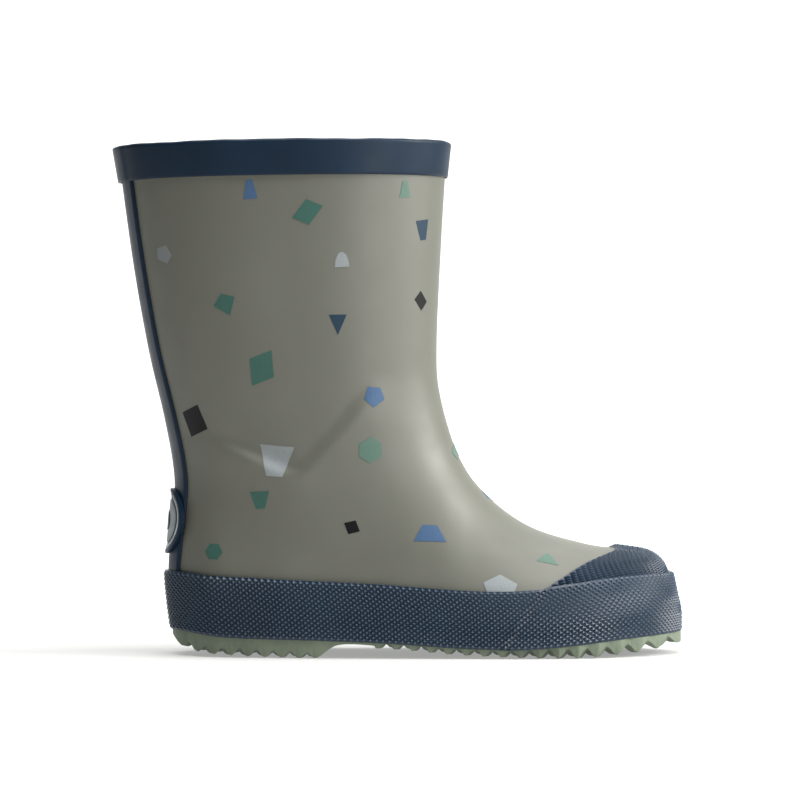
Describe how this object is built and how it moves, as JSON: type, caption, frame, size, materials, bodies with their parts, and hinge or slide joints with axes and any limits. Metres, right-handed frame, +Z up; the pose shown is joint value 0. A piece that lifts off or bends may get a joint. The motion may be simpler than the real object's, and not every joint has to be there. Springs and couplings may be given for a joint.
{
  "type": "wellington boot",
  "caption": "Child's right wellington boot: hollow khaki rubber shaft and foot, navy collar binding, back strip, toe cap and foxing band, ribbed outsole with a heel.",
  "frame": {"origin": "middle of the bounding box, on the floor", "axes": "+X towards the toe, +Y towards the inner side of the foot, +Z up"},
  "size_m": [0.202, 0.0752, 0.1809],
  "materials": {
    "upper_rubber": "khaki grey, satin lacquered",
    "trim_rubber": "navy, satin, part of it knurled",
    "outsole_rubber": "khaki green, matt",
    "insole_foam": "knitted lining over foam",
    "badge_rubber": "moulded rings, satin"
  },
  "bodies": {
    "root": {"upper": "upper_rubber", "collar_binding": "trim_rubber", "back_strip": "trim_rubber", "toe_cap": "trim_rubber", "foxing_band": "trim_rubber", "outsole": "outsole_rubber", "insole": "insole_foam", "heel_badge": "badge_rubber"}
  },
  "joints": []
}
